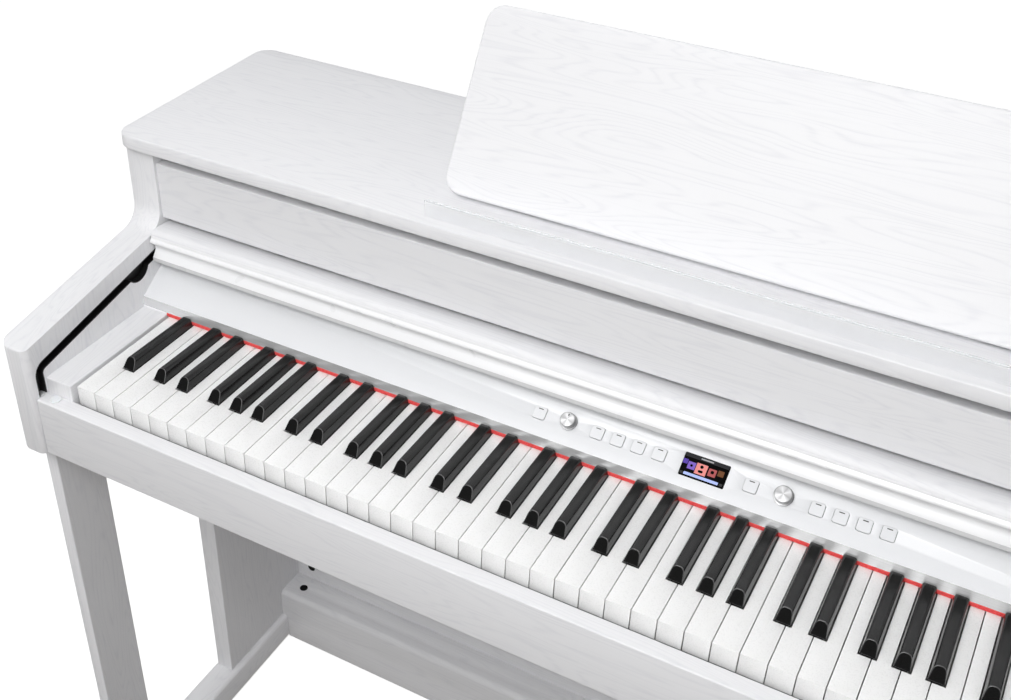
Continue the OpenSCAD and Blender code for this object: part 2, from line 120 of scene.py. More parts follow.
class Shader:
    """A node material with a Principled BSDF, and short calls for the nodes that feed it."""

    def __init__(self, name, colour, roughness, **sockets):
        self.mat = bpy.data.materials.new(name)
        self.mat.use_nodes = True
        self.tree = self.mat.node_tree
        self.bsdf = self.tree.nodes["Principled BSDF"]
        self.bsdf.inputs["Base Color"].default_value = (*colour, 1)
        self.bsdf.inputs["Roughness"].default_value = roughness
        for key, value in sockets.items():
            self.bsdf.inputs[key.replace("_", " ")].default_value = value
        self.coords = self.node("ShaderNodeTexCoord").outputs["Object"]

    def node(self, kind, **settings):
        made = self.tree.nodes.new(kind)
        for key, value in settings.items():
            setattr(made, key, value)
        return made

    def link(self, out, into):
        self.tree.links.new(out, into)

    def stretched(self, scale, spin=(0, 0, 0)):
        """Object coordinates, scaled along each axis."""
        mapping = self.node("ShaderNodeMapping")
        mapping.inputs["Scale"].default_value = scale
        mapping.inputs["Rotation"].default_value = spin
        self.link(self.coords, mapping.inputs["Vector"])
        return mapping.outputs["Vector"]

    def noise(self, scale, vector=None, detail=4.0, rough=0.5, distortion=0.0):
        made = self.node("ShaderNodeTexNoise")
        made.inputs["Scale"].default_value = scale
        made.inputs["Detail"].default_value = detail
        made.inputs["Roughness"].default_value = rough
        made.inputs["Distortion"].default_value = distortion
        self.link(vector or self.coords, made.inputs["Vector"])
        return made.outputs["Fac"]

    def ramp(self, value, stops):
        """stops are (position, colour) pairs."""
        made = self.node("ShaderNodeValToRGB")
        made.color_ramp.elements[0].position = stops[0][0]
        made.color_ramp.elements[0].color = (*stops[0][1], 1)
        made.color_ramp.elements[1].position = stops[-1][0]
        made.color_ramp.elements[1].color = (*stops[-1][1], 1)
        for position, colour in stops[1:-1]:
            made.color_ramp.elements.new(position).color = (*colour, 1)
        self.link(value, made.inputs["Fac"])
        return made.outputs["Color"]

    def math(self, operation, a, b):
        """a and b are numbers or sockets."""
        made = self.node("ShaderNodeMath", operation=operation)
        for value, socket in ((a, made.inputs[0]), (b, made.inputs[1])):
            if isinstance(value, (int, float)):
                socket.default_value = value
            else:
                self.link(value, socket)
        return made.outputs[0]

    def mix(self, factor, a, b):
        """The inputs are numbers, colours or sockets."""
        made = self.node("ShaderNodeMix", data_type="RGBA")
        for value, socket in ((factor, made.inputs[0]), (a, made.inputs[6]), (b, made.inputs[7])):
            if isinstance(value, (int, float)):
                socket.default_value = value
            elif isinstance(value, tuple):
                socket.default_value = (*value, 1)
            else:
                self.link(value, socket)
        return made.outputs[2]

    def colour(self, out):
        self.link(out, self.bsdf.inputs["Base Color"])
        return self

    def roughness(self, value, low, high):
        """Spreads a 0 to 1 value over a range of roughness."""
        made = self.node("ShaderNodeMapRange")
        made.inputs["To Min"].default_value = low
        made.inputs["To Max"].default_value = high
        self.link(value, made.inputs["Value"])
        self.link(made.outputs["Result"], self.bsdf.inputs["Roughness"])
        return self

    def bump(self, height, depth, strength):
        made = self.node("ShaderNodeBump")
        made.inputs["Distance"].default_value = depth
        made.inputs["Strength"].default_value = strength
        self.link(height, made.inputs["Height"])
        self.link(made.outputs["Normal"], self.bsdf.inputs["Normal"])
        return self


def grain_scale(along, lengthwise, across):
    """The scale of a pattern that is drawn out along one axis."""
    return tuple(lengthwise if axis == along else across for axis in "XYZ")


def plain(name, colour, roughness):
    """A matt board with a faint mottle."""
    shader = Shader(name, colour, roughness)
    grain = shader.noise(90, detail=3)
    dark = tuple(c * 0.97 for c in colour)
    shader.colour(shader.ramp(grain, [(0.3, dark), (0.7, colour)]))
    return shader.mat


WOOD_RINGS = 170.0          # multiplies a slow noise, whose sine draws the figure
TURNING_RINGS = 9000.0      # radians per metre: grooves 0.7 mm apart


def white_wood(name, along):
    """White foil printed and pressed with a fine open grain that runs along one axis."""
    shader = Shader(name, (0.83, 0.83, 0.845), 0.5, Specular_IOR_Level=0.4)
    figure = shader.stretched(grain_scale(along, 1.4, 15.0))
    pores = shader.stretched(grain_scale(along, 9.0, 330.0))
    field = shader.noise(1.6, figure, detail=2.0, rough=0.45, distortion=0.35)
    rings = shader.math("SINE", shader.math("MULTIPLY", field, WOOD_RINGS), 0.0)
    lines = shader.math("POWER", shader.math("MULTIPLY", shader.math("ADD", rings, 1.0), 0.5), 4.0)
    streaks = shader.noise(1.0, pores, detail=3.0, rough=0.6)
    shade = shader.ramp(streaks, [(0.35, (0.2,) * 3), (0.65, (0.85,) * 3)])
    pale = (0.815, 0.816, 0.83)
    grey = (0.745, 0.747, 0.772)
    fleck = (0.785, 0.787, 0.803)
    base = shader.mix(shader.ramp(streaks, [(0.56, (0, 0, 0)), (0.72, (1, 1, 1))]), pale, fleck)
    shader.colour(shader.mix(shader.math("MULTIPLY", lines, shade), base, grey))
    raised = shader.math("MULTIPLY", streaks, 0.6)
    height = shader.math("SUBTRACT", raised, shader.math("MULTIPLY", lines, 0.4))
    shader.bump(height, 0.00018, 0.4)
    shader.roughness(streaks, 0.42, 0.58)
    return shader.mat


def lacquer(name, tone):
    """Smooth white lacquer on the fallboard moulding."""
    shader = Shader(name, (tone,) * 3, 0.28, Coat_Weight=0.35, Coat_Roughness=0.12)
    ripple = shader.noise(35, detail=2)
    low = (tone * 0.985, tone * 0.988, tone)
    high = (tone, tone * 1.003, tone * 1.012)
    shader.colour(shader.ramp(ripple, [(0.3, low), (0.7, high)]))
    return shader.bump(ripple, 0.00008, 0.4).roughness(ripple, 0.24, 0.34).mat


def satin_silver(name, tone):
    """Silver-white paint with a very fine metal flake."""
    shader = Shader(name, (tone,) * 3, 0.34, Coat_Weight=0.25, Coat_Roughness=0.2)
    flake = shader.noise(5200, detail=1)
    cloud = shader.noise(9, detail=2)
    low = (tone * 0.955, tone * 0.965, tone * 0.985)
    high = (tone * 0.99, tone * 1.0, tone * 1.02)
    shader.colour(shader.mix(shader.ramp(flake, [(0.4, (0, 0, 0)), (0.6, (1, 1, 1))]), low, high))
    return shader.roughness(cloud, 0.3, 0.38).bump(flake, 0.00001, 0.25).mat


def brushed(name, colour, along, roughness, metal=1.0):
    """Brushed metal with fine lines along one axis."""
    shader = Shader(name, colour, roughness, Metallic=metal)
    lines = shader.noise(1.0, shader.stretched(grain_scale(along, 20.0, 3000.0)), detail=3)
    dark = tuple(c * 0.86 for c in colour)
    shader.colour(shader.ramp(lines, [(0.35, dark), (0.65, colour)]))
    return shader.roughness(lines, roughness * 0.8, roughness * 1.3).bump(lines, 0.00002, 0.3).mat


def spun_metal_painted_wedges(name, stops, roughness):
    """Turned aluminium. The stops are (turn, tone) pairs, from the knob's own -X round to -X. They
    paint the base colour light and dark by angle: painted highlights and painted shade standing for the
    reflections on spun metal.
    """
    shader = Shader(name, (0.7, 0.71, 0.72), roughness, Metallic=0.35, Specular_IOR_Level=0.2)
    parts = shader.node("ShaderNodeSeparateXYZ")
    shader.link(shader.coords, parts.inputs[0])
    angle = shader.math("ARCTAN2", parts.outputs[1], parts.outputs[0])
    turn = shader.math("ADD", shader.math("DIVIDE", angle, 2 * math.pi), 0.5)
    squares = [shader.math("MULTIPLY", parts.outputs[i], parts.outputs[i]) for i in (0, 1)]
    radius = shader.math("SQRT", shader.math("ADD", *squares), 0.0)
    rings = shader.math("SINE", shader.math("MULTIPLY", radius, TURNING_RINGS), 0.0)
    colours = [(position, (tone, tone, tone * 1.01)) for position, tone in stops]
    # Painted light: the colour goes light and dark by angle round the knob.
    shader.colour(shader.ramp(turn, colours))
    return shader.bump(rings, 0.00001, 0.3).mat


def key_white():
    """Semi-gloss acrylic of the white keys."""
    shader = Shader("key_white", (0.9, 0.9, 0.89), 0.26, Coat_Weight=0.3, Coat_Roughness=0.1)
    cloud = shader.noise(60, detail=2)
    fine = shader.noise(900, detail=3)
    shader.colour(shader.ramp(cloud, [(0.3, (0.895, 0.895, 0.885)), (0.7, (0.905, 0.905, 0.9))]))
    return shader.roughness(fine, 0.24, 0.32).bump(fine, 0.00001, 0.1).mat


def key_black(name, tone, specular):
    """Polished black with the fine texture of an ebony finish."""
    shader = Shader(name, (tone,) * 3, 0.22, Specular_IOR_Level=specular)
    grain = shader.noise(1.0, shader.stretched(grain_scale("Y", 160.0, 2400.0)), detail=3)
    shader.colour(shader.ramp(grain, [(0.3, (tone * 0.7,) * 3), (0.7, (tone * 1.35,) * 3)]))
    return shader.roughness(grain, 0.17, 0.27).bump(grain, 0.00002, 0.2).mat


def red_felt():
    """Red wool felt, with a faint painted glow, though it is no lamp, that lifts its shade and keeps it
    red between the keys.
    """
    shader = Shader("red_felt", (0.8, 0.08, 0.08), 0.95,
                    Emission_Color=(0.8, 0.09, 0.09, 1), Emission_Strength=0.12)
    fibre = shader.noise(2600, detail=5, rough=0.7)
    tufts = shader.noise(420, detail=3)
    shade = shader.math("MULTIPLY", fibre, tufts)
    shader.colour(shader.ramp(shade, [(0.12, (0.6, 0.04, 0.04)), (0.42, (0.82, 0.1, 0.1))]))
    return shader.bump(fibre, 0.0004, 0.8).mat


def dark_plastic(name, tone, roughness, specular=0.5):
    """Plastic, rubber or blackened metal with a fine matt texture."""
    shader = Shader(name, (tone,) * 3, roughness, Specular_IOR_Level=specular)
    grain = shader.noise(1500, detail=3)
    shader.colour(shader.ramp(grain, [(0.3, (tone * 0.8,) * 3), (0.7, (tone * 1.2,) * 3)]))
    return shader.roughness(grain, roughness * 0.85, roughness * 1.15).bump(grain, 0.00005, 0.4).mat


def clear_acrylic(name, colour, alpha):
    """Clear bluish acrylic. A low alpha lets what is behind it show."""
    shader = Shader(name, colour, 0.08, Alpha=alpha)
    scuff = shader.noise(140, detail=2)
    return shader.roughness(scuff, 0.05, 0.12).mat


def rubber_white():
    """Soft white rubber of the bumpers on the key slip."""
    shader = Shader("rubber_white", (0.88, 0.88, 0.87), 0.6, Subsurface_Weight=0.1)
    grain = shader.noise(700, detail=2)
    shader.colour(shader.ramp(grain, [(0.3, (0.86, 0.86, 0.85)), (0.7, (0.9, 0.9, 0.895))]))
    return shader.bump(grain, 0.00003, 0.3).mat


def glow(name, colour, strength):
    """A lit patch of the display."""
    shader = Shader(name, colour, 0.5, Emission_Color=(*colour, 1), Emission_Strength=strength,
                    Specular_IOR_Level=0.05)
    dots = shader.noise(3000, detail=1)
    shader.colour(shader.ramp(dots, [(0.3, tuple(c * 0.9 for c in colour)), (0.7, colour)]))
    return shader.mat


# Painted highlights and painted shade, as (turn, tone) pairs: the light and dark wedges of a spun
# knob's top and of its side.
PAINTED_TOP_LIGHT_AND_SHADE = [(0.0, 0.42), (0.1, 0.8), (0.2, 0.48), (0.32, 0.9), (0.45, 0.45), (0.6, 0.85), (0.7, 0.5),
          (0.82, 0.8), (0.92, 0.5), (1.0, 0.42)]
PAINTED_SIDE_LIGHT_AND_SHADE = [(0.0, 0.6), (0.2, 0.7), (0.38, 0.3), (0.5, 0.24), (0.62, 0.5), (0.8, 0.6), (1.0, 0.6)]

MAT = {
    "wood_x": white_wood("white_wood_x", "X"),
    "wood_y": white_wood("white_wood_y", "Y"),
    "wood_z": white_wood("white_wood_z", "Z"),
    "lacquer": lacquer("white_lacquer", 0.91),
    # The foot's grey lacquer is painted shade on the moulding's low front face.
    "foot": lacquer("painted_shade_lacquer", 0.62),
    "panel": satin_silver("panel_silver", 0.83),
    "button": satin_silver("button_silver", 0.8),
    # A greyer copy of the button silver: painted shade for the gap round each cap.
    "button_side": satin_silver("button_side", 0.68),
    "lip": brushed("brushed_lip", (0.92, 0.925, 0.93), "X", 0.15, 0.66),
    "steel": brushed("steel", (0.5, 0.51, 0.52), "X", 0.35),
    "brass": brushed("brass", (0.75, 0.56, 0.25), "Y", 0.22),
    "spun_top_painted_highlights": spun_metal_painted_wedges("spun_top_painted_highlights", PAINTED_TOP_LIGHT_AND_SHADE, 0.3),
    "spun_side_painted_light_and_shade": spun_metal_painted_wedges("spun_side_painted_light_and_shade", PAINTED_SIDE_LIGHT_AND_SHADE, 0.35),
    "white": key_white(),
    "black": key_black("key_black", 0.012, 0.5),
    # A darker copy for the fronts (painted shade) and a paler copy for the rounded edges (painted
    # highlight).
    "black_front": key_black("key_black_front_painted_shade", 0.009, 0.0),
    "black_rim": key_black("key_black_painted_rim_highlight", 0.06, 0.6),
    "felt": red_felt(),
    "track": dark_plastic("track_black", 0.004, 0.5),
    "dark": dark_plastic("dark_plastic", 0.02, 0.45),
    "bolt": dark_plastic("bolt_black", 0.003, 0.6, 0.15),
    "acrylic": clear_acrylic("clear_acrylic", (0.84, 0.87, 0.9), 0.08),
    # A whiter, less clear copy of the acrylic: a painted highlight for the book stop's top edge.
    "acrylic_painted_highlight": clear_acrylic("acrylic_painted_highlight", (0.9, 0.93, 0.95), 0.3),
    "bumper": rubber_white(),
    "glide": dark_plastic("glide_rubber", 0.03, 0.8),
    "back": plain("back_board", (0.78, 0.78, 0.78), 0.6),
    "circuit": plain("circuit_green", (0.02, 0.12, 0.05), 0.4),
    "screen": dark_plastic("screen_black", 0.002, 0.3, 0.03),
    "led": dark_plastic("led_dark", 0.05, 0.3),
}


# ---------------------------------------------------------------- mesh helpers

def add_piece(name, bm, material, body, place=None):
    """Makes a bmesh a piece of the model, which moves with a body and fills a material slot."""
    mesh_data = bpy.data.meshes.new(name)
    bm.to_mesh(mesh_data)
    bm.free()
    obj = bpy.data.objects.new(name, mesh_data)
    if place is not None:
        obj.matrix_world = place
    SCENE.collection.objects.link(obj)
    for m in material if isinstance(material, list) else [material]:
        obj.data.materials.append(m)
    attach(obj, body)
    return obj


def smooth(obj):
    """Shades every face smooth."""
    for face in obj.data.polygons:
        face.use_smooth = True


def soften(obj, width, segments=3, angle=30):
    """Rounds the edges sharper than angle. The flat faces between them still shade flat."""
    smooth(obj)
    bevel = obj.modifiers.new("bevel", "BEVEL")
    bevel.width = width
    bevel.segments = segments
    bevel.limit_method = "ANGLE"
    bevel.angle_limit = math.radians(angle)
    bevel.harden_normals = True
    return obj


def clean_copy(node):
    """A copy of a CAD node's mesh with its flat faces whole again."""
    bm = bmesh.new()
    bm.from_mesh(frame["nodes"][node].data)
    bmesh.ops.remove_doubles(bm, verts=bm.verts, dist=1e-6)
    bmesh.ops.dissolve_limit(bm, angle_limit=math.radians(0.6), verts=bm.verts, edges=bm.edges)
    return bm


def body_of(node):
    """The body that a CAD node moves with."""
    bodies = frame["record"]["behaviour"]["bodies"]
    return next(body for body, members in bodies.items() if node in members)


def rounded(node, material, width, segments=3, angle=30, choose=None):
    """Stands for a CAD node: the same shape with rounded edges, width in metres and angle in degrees.

    choose gives a face's material index.
    """
    bm = clean_copy(node)
    if choose:
        for face in bm.faces:
            face.material_index = choose(face)
    obj = add_piece(node + "_piece", bm, material, body_of(node))
    soften(obj, width, segments, angle)
    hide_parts(node)


def finish_node(node, material):
    """Keeps a CAD node's shape and gives it a finish."""
    data = frame["nodes"][node].data
    data.materials.clear()
    data.materials.append(material)


CORNER_STEPS = 6
CIRCLE_STEPS = 30
LATHE_STEPS = 64


def rounded_outline(w, h, r):
    """A w by h rectangle about the origin, with its corners rounded."""
    points = []
    for cx, cy, start in ((1, 1, 0), (-1, 1, 90), (-1, -1, 180), (1, -1, 270)):
        for i in range(CORNER_STEPS + 1):
            a = math.radians(start + 90 * i / CORNER_STEPS)
            points.append((cx * (w / 2 - r) + r * math.cos(a), cy * (h / 2 - r) + r * math.sin(a)))
    return points


def circle(r):
    """A circle of radius r about the origin."""
    angles = [2 * math.pi * i / CIRCLE_STEPS for i in range(CIRCLE_STEPS)]
    return [(r * math.cos(a), r * math.sin(a)) for a in angles]


def arc(cy, cz, r, start, end, steps):
    """Points on an arc about (cy, cz), from the start angle to the end angle in degrees."""
    angles = [math.radians(start + (end - start) * i / steps) for i in range(steps + 1)]
    return [(cy + r * math.cos(a), cz + r * math.sin(a)) for a in angles]


def plate(name, outline, low, high, place, material, body, edge=0.0):
    """An outline in x and y drawn from z = low to z = high, put in place by a matrix."""
    bm = bmesh.new()
    base = [bm.verts.new((x, y, low)) for x, y in outline]
    face = bm.faces.new(base)
    top = bmesh.ops.extrude_face_region(bm, geom=[face])
    lifted = [g for g in top["geom"] if isinstance(g, bmesh.types.BMVert)]
    bmesh.ops.translate(bm, verts=lifted, vec=(0, 0, high - low))
    bmesh.ops.recalc_face_normals(bm, faces=bm.faces)
    obj = add_piece(name, bm, material, body, place)
    if edge:
        soften(obj, edge, 2)
    return obj


def extrude_x(name, outline, x0, x1, material, body, choose=None):
    """A cross-section of (y, z) points drawn out along X. choose gives a face's material index."""
    bm = bmesh.new()
    left = [bm.verts.new((x0, y, z)) for y, z in outline]
    right = [bm.verts.new((x1, y, z)) for y, z in outline]
    bm.faces.new(left)
    bm.faces.new(list(reversed(right)))
    for i in range(len(outline)):
        j = (i + 1) % len(outline)
        bm.faces.new((left[j], left[i], right[i], right[j]))
    bmesh.ops.recalc_face_normals(bm, faces=bm.faces)
    if choose:
        for face in bm.faces:
            face.material_index = choose(face)
    return add_piece(name, bm, material, body)


def lathe(name, profile, place, material, body):
    """Turns an (r, z) profile, in mm, about its own Z axis."""
    bm = bmesh.new()
    rows = []
    for i in range(LATHE_STEPS):
        a = 2 * math.pi * i / LATHE_STEPS
        ring = [(r * MM * math.cos(a), r * MM * math.sin(a), z * MM) for r, z in profile]
        rows.append([bm.verts.new(point) for point in ring])
    for i in range(LATHE_STEPS):
        here, there = rows[i], rows[(i + 1) % LATHE_STEPS]
        for j in range(len(profile) - 1):
            bm.faces.new((here[j], there[j], there[j + 1], here[j + 1]))
    bm.faces.new([row[-1] for row in rows])
    bm.faces.new([row[0] for row in reversed(rows)])
    bmesh.ops.recalc_face_normals(bm, faces=bm.faces)
    obj = add_piece(name, bm, material, body, place)
    smooth(obj)
    edges = obj.modifiers.new("edges", "EDGE_SPLIT")
    edges.split_angle = math.radians(35)
    return obj


# ---------------------------------------------------------------- where things are

WHITE_KEYS = 52
KEY_GAP = 1 * MM
white_low, white_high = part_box("white_keys")
KEY_Y = white_low.y
KEY_Z = white_high.z
PITCH = (white_high.x - white_low.x + KEY_GAP) / WHITE_KEYS
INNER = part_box("key_slip")[1].x     # half the width between the side panels


def at(y, z):
    """Cross-section mm, counted from the front top edge of the white keys, as metres in the frame."""
    return KEY_Y + y * MM, KEY_Z + z * MM


# ---------------------------------------------------------------- cabinet and stand

# The bolts and the dark discs over them: painted shade for the holes the black bolt heads sit in.
# BOLT_Y and BOLT_Z are in the cross-section, in mm, and the rest in metres.
BOLT_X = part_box("side_panel_right")[1].x - 54 * MM
BOLT_Y = 373
BOLT_Z = -617
BOLT_SHADE_R = 6 * MM
BOLT_SHADE_THICK = 0.4 * MM
# The strip on the book stop is a painted highlight along its top edge.
STOP_HIGHLIGHT_HIGH = 0.3 * MM    # height of the strip on the book stop


# CAD nodes that keep their shape, and their finish.
PLAIN_NODES = {
    "back_panel": "back", "fallboard_tracks": "track", "speakers": "dark", "power_inlet": "dark",
    "circuit_board": "circuit", "glides": "glide", "fasteners": "bolt", "key_frame": "steel",
    "desk_hinges": "steel", "desk_leaves": "steel", "fallboard_pins": "steel",
}


def sides_then_top(face):
    """Side panels: vertical grain, but grain from front to back on the faces that look up."""
    return int(face.normal.z > 0.5)


def top_then_front(face):
    """Key blocks: grain along them, and vertical grain on their front ends."""
    return int(face.normal.y < -0.5)


def make_bolt_hole_shades():
    """Dark discs over the bolts in the top of the pedal box and the front of the lower back board:
    painted shade for the bolt holes, over bolt heads that are black.
    """
    beam_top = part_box("pedal_box")[1].z
    board_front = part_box("lower_back_board")[0].y
    y, z = at(BOLT_Y, BOLT_Z)
    disc, black = circle(BOLT_SHADE_R), MAT["bolt"]
    facing_front = Matrix.Rotation(math.radians(90), 4, "X")
    for side, x in (("left", -BOLT_X), ("right", BOLT_X)):
        on_beam = Matrix.Translation((x, y, beam_top))
        plate("box_hole_shade_" + side, disc, 0, BOLT_SHADE_THICK, on_beam, black, "cabinet")
        on_board = Matrix.Translation((x, board_front, z)) @ facing_front
        plate("board_hole_shade_" + side, disc, 0, BOLT_SHADE_THICK, on_board, black, "cabinet")


def make_book_stop():
    """The clear stop, with a brighter strip along its top edge: a painted highlight for the light on
    its polished edge.
    """
    rounded("book_stop", MAT["acrylic"], 0.0005, 2)
    low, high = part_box("book_stop")
    top = high.z + STOP_HIGHLIGHT_HIGH
    strip = [(low.y, high.z), (high.y, high.z), (high.y, top), (low.y, top)]
    finish, slot = MAT["acrylic_painted_highlight"], SLOT_OF["book_stop"]
    extrude_x("book_stop_painted_highlight", strip, low.x, high.x, finish, "cabinet")


def make_cabinet():
    """Wooden parts with rounded edges, and the small parts in their own finish."""
    for side in ("left", "right"):
        rounded("side_panel_" + side, [MAT["wood_z"], MAT["wood_y"]], 0.0012, 3, 40, sides_then_top)
    rounded("top_board", MAT["wood_x"], 0.0015, 3, 40)
    rounded("front_board", MAT["wood_x"], 0.0012, 3)
    rounded("key_slip", MAT["wood_x"], 0.0015, 3)
    rounded("key_blocks", [MAT["wood_y"], MAT["wood_z"]], 0.0018, 3, choose=top_then_front)
    rounded("key_bed", MAT["wood_x"], 0.0008, 2)
    rounded("stand_panels", MAT["wood_z"], 0.0015, 3)
    rounded("front_legs", MAT["wood_z"], 0.0015, 3, 40)
    rounded("foot_bars", MAT["wood_y"], 0.005, 4)
    rounded("pedal_box", MAT["wood_x"], 0.0012, 2, 40)
    rounded("lower_back_board", MAT["wood_x"], 0.001, 2)
    rounded("music_desk", MAT["wood_x"], 0.0028, 4, 40)
    make_book_stop()
    rounded("slip_bumpers", MAT["bumper"], 0.0009, 3, 40)
    rounded("key_felt", MAT["felt"], 0.0004, 2)
    for node, finish in PLAIN_NODES.items():
        finish_node(node, MAT[finish])
    make_bolt_hole_shades()


# ---------------------------------------------------------------- keys

# A black key, in mm. BASE and TOP are widths, FRONT and END are cross-section places, and RISE, FOOT
# and LOW are heights over the white keys. FRONT_RUN is how far the front leans back over its height.
BLACK_BASE = 14.3
BLACK_TOP = 9.6
BLACK_FRONT = 48.0
BLACK_END = 145.5
BLACK_RISE = 12.0
BLACK_BACK_RISE = 8.5
BLACK_FOOT = 0.4
FRONT_RUN = 8.0
FRONT_SHOULDER = 4.7
BACK_SHOULDER = 2.4
SHOULDER_STEPS = 8
STICK_W = 9
STICK_FRONT = 52
STICK_END = 228
STICK_LOW = -16

# Which of the black keys' finishes the front and the rounded edges take: the front's is a darker copy,
# painted shade, and the edges' a paler one, painted highlight.
FRONT_SHADE_FINISH = 1
RIM_HIGHLIGHT_FINISH = 2

# White keys are counted from 0 at the bass end. A white key's count modulo 7 tells its note, from A,
# and SHARP_SHIFT says how far in mm the black key after it stands off the gap between the white ones.
MIDDLE_C = 23
SHARP_SHIFT = {0: 3.2, 2: -3.0, 3: 3.0, 5: -3.7, 6: 0.0}
MIDDLE_SHARPS = {"key_c_sharp4": 23, "key_d_sharp4": 24, "key_f_sharp4": 26, "key_g_sharp4": 27,
                 "key_a_sharp4": 28}


def key_centres(node):
    """x of the black keys that a node holds."""
    if node in MIDDLE_SHARPS:
        wanted = [MIDDLE_SHARPS[node]]
    else:
        middle = range(MIDDLE_C, MIDDLE_C + 7)
        wanted = [k for k in range(WHITE_KEYS - 1) if k % 7 in SHARP_SHIFT and k not in middle]
    return [(k + 1 - WHITE_KEYS // 2) * PITCH + SHARP_SHIFT[k % 7] * MM for k in wanted]


def black_profile(rise, shoulder):
    """A tapered body with round shoulders: (x, z) in mm, from the right foot over to the left."""
    lean = math.atan2((BLACK_BASE - BLACK_TOP) / 2, BLACK_RISE - BLACK_FOOT)
    centre_z = rise - shoulder
    centre_x = BLACK_BASE / 2 - (shoulder + math.sin(lean) * (centre_z - BLACK_FOOT)) / math.cos(lean)
    side = [(BLACK_BASE / 2, BLACK_FOOT)]
    for i in range(SHOULDER_STEPS + 1):
        a = lean + (math.pi / 2 - lean) * i / SHOULDER_STEPS
        side.append((centre_x + shoulder * math.cos(a), centre_z + shoulder * math.sin(a)))
    return side + [(-x, z) for x, z in reversed(side)]


def add_black_key(bm, x):
    """One black key: a tapered cap with a sloped, duller front drawn darker as painted shade, and a
    falling top, on its stick.
    """
    front = []
    for px, pz in black_profile(BLACK_RISE, FRONT_SHOULDER):
        y, z = at(BLACK_FRONT + (pz - BLACK_FOOT) * FRONT_RUN / (BLACK_RISE - BLACK_FOOT), pz)
        front.append(bm.verts.new((x + px * MM, y, z)))
    tail = black_profile(BLACK_BACK_RISE, BACK_SHOULDER)
    back = [bm.verts.new((x + px * MM, *at(BLACK_END, pz))) for px, pz in tail]
    bm.faces.new(front).material_index = FRONT_SHADE_FINISH
    bm.faces.new(list(reversed(back)))
    for i in range(len(front)):
        j = (i + 1) % len(front)
        bm.faces.new((front[j], front[i], back[i], back[j]))
    y0, z0 = at(STICK_FRONT, STICK_LOW)
    y1, z1 = at(STICK_END, BLACK_FOOT)
    middle = Matrix.Translation((x, (y0 + y1) / 2, (z0 + z1) / 2))
    stretch = Matrix.Diagonal((STICK_W * MM, y1 - y0, z1 - z0, 1))
    bmesh.ops.create_cube(bm, size=1, matrix=middle @ stretch)


def make_black_keys():
    """The bevel has a paler material: a painted highlight where the edges of the caps catch the light.
    """
    faces = [MAT["black"], MAT["black_front"], MAT["black_rim"]]
    singles = [n for n in frame["nodes"] if n.startswith("key_") and "sharp" in n]
    for node in singles + ["black_keys"]:
        bm = bmesh.new()
        for centre in key_centres(node):
            add_black_key(bm, centre)
        bmesh.ops.recalc_face_normals(bm, faces=bm.faces)
        obj = add_piece(node + "_piece", bm, faces, body_of(node))
        soften(obj, 0.0006, 3, 32).modifiers["bevel"].material = RIM_HIGHLIGHT_FINISH
        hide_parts(node)


def make_white_keys():
    """The seven single white keys and the node that holds the rest."""
    singles = [n for n in frame["nodes"] if n.startswith("key_") and SLOT_OF[n] == "key_white"]
    for node in singles + ["white_keys"]:
        rounded(node, MAT["white"], 0.0008, 3, 40)


# ---------------------------------------------------------------- control panel

# The front edge of the panel's face and its slope.
PANEL_Y, PANEL_Z = at(149.2, 14.1)
SLOPE = math.radians(34.05)
PANEL = Matrix.Translation((0, PANEL_Y, PANEL_Z)) @ Matrix.Rotation(SLOPE, 4, "X")


def on_panel(x, s):
    """The matrix of a spot on the panel, x along it and s up its slope in mm, with Z pointing out."""
    return PANEL @ Matrix.Translation((x * MM, s * MM, 0))


# Places on the panel, in mm.
BUTTON_ROW = 22.5
LED_ROW = BUTTON_ROW + 4.0
KNOB_ROW = 23.4
DIMPLE_ROW = KNOB_ROW + 4.4
BUTTON_X = [-167.2, -106.8, -85.9, -65.0, -44.1, 44.1, 104.8, 125.7, 146.6, 167.5]
VOLUME_X = -137
DIAL_X = 74

# Sizes of a button, in metres.
BUTTON_W = 12.6 * MM
BUTTON_R = 2.0 * MM
BUTTON_OUT = 1.2 * MM
BUTTON_IN = -1.5 * MM
CAP_EDGE = 0.25 * MM
CAP_W = BUTTON_W - 2 * CAP_EDGE
CAP_LOW = BUTTON_OUT - 0.4 * MM
SIDE_HIGH = BUTTON_OUT - 0.3 * MM
LED_LOW = BUTTON_OUT - 0.1 * MM
LED_HIGH = BUTTON_OUT + 0.06 * MM

# The dark oval, painted shade in place of a dimple, stands just proud of the volume knob's face, which
# is KNOB_TOP mm out of the panel.
KNOB_TOP = 8.5
DIMPLE_SHADE_LOW = 8.4 * MM
DIMPLE_SHADE_HIGH = 8.53 * MM


def make_buttons():
    """Each button is a pale cap on a greyer side wall, its grey painted shade for the gap round the
    cap, with a dark lamp window near its top edge.
    """
    wall = rounded_outline(BUTTON_W, BUTTON_W, BUTTON_R)
    face = rounded_outline(CAP_W, CAP_W, BUTTON_R - CAP_EDGE)
    window = rounded_outline(5.0 * MM, 0.9 * MM, 0.3 * MM)
    for i, x in enumerate(BUTTON_X):
        node = "button_%d" % (i + 1)
        body, slot = body_of(node), SLOT_OF[node]
        spot = on_panel(x, BUTTON_ROW)
        side = plate(node + "_side", wall, BUTTON_IN, SIDE_HIGH, spot, MAT["button_side"], body)
        cap = plate(node + "_cap", face, CAP_LOW, BUTTON_OUT, spot, MAT["button"], body, CAP_EDGE)
        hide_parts(node)
        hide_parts(node)
        plate(node + "_led", window, LED_LOW, LED_HIGH, on_panel(x, LED_ROW), MAT["led"], body)


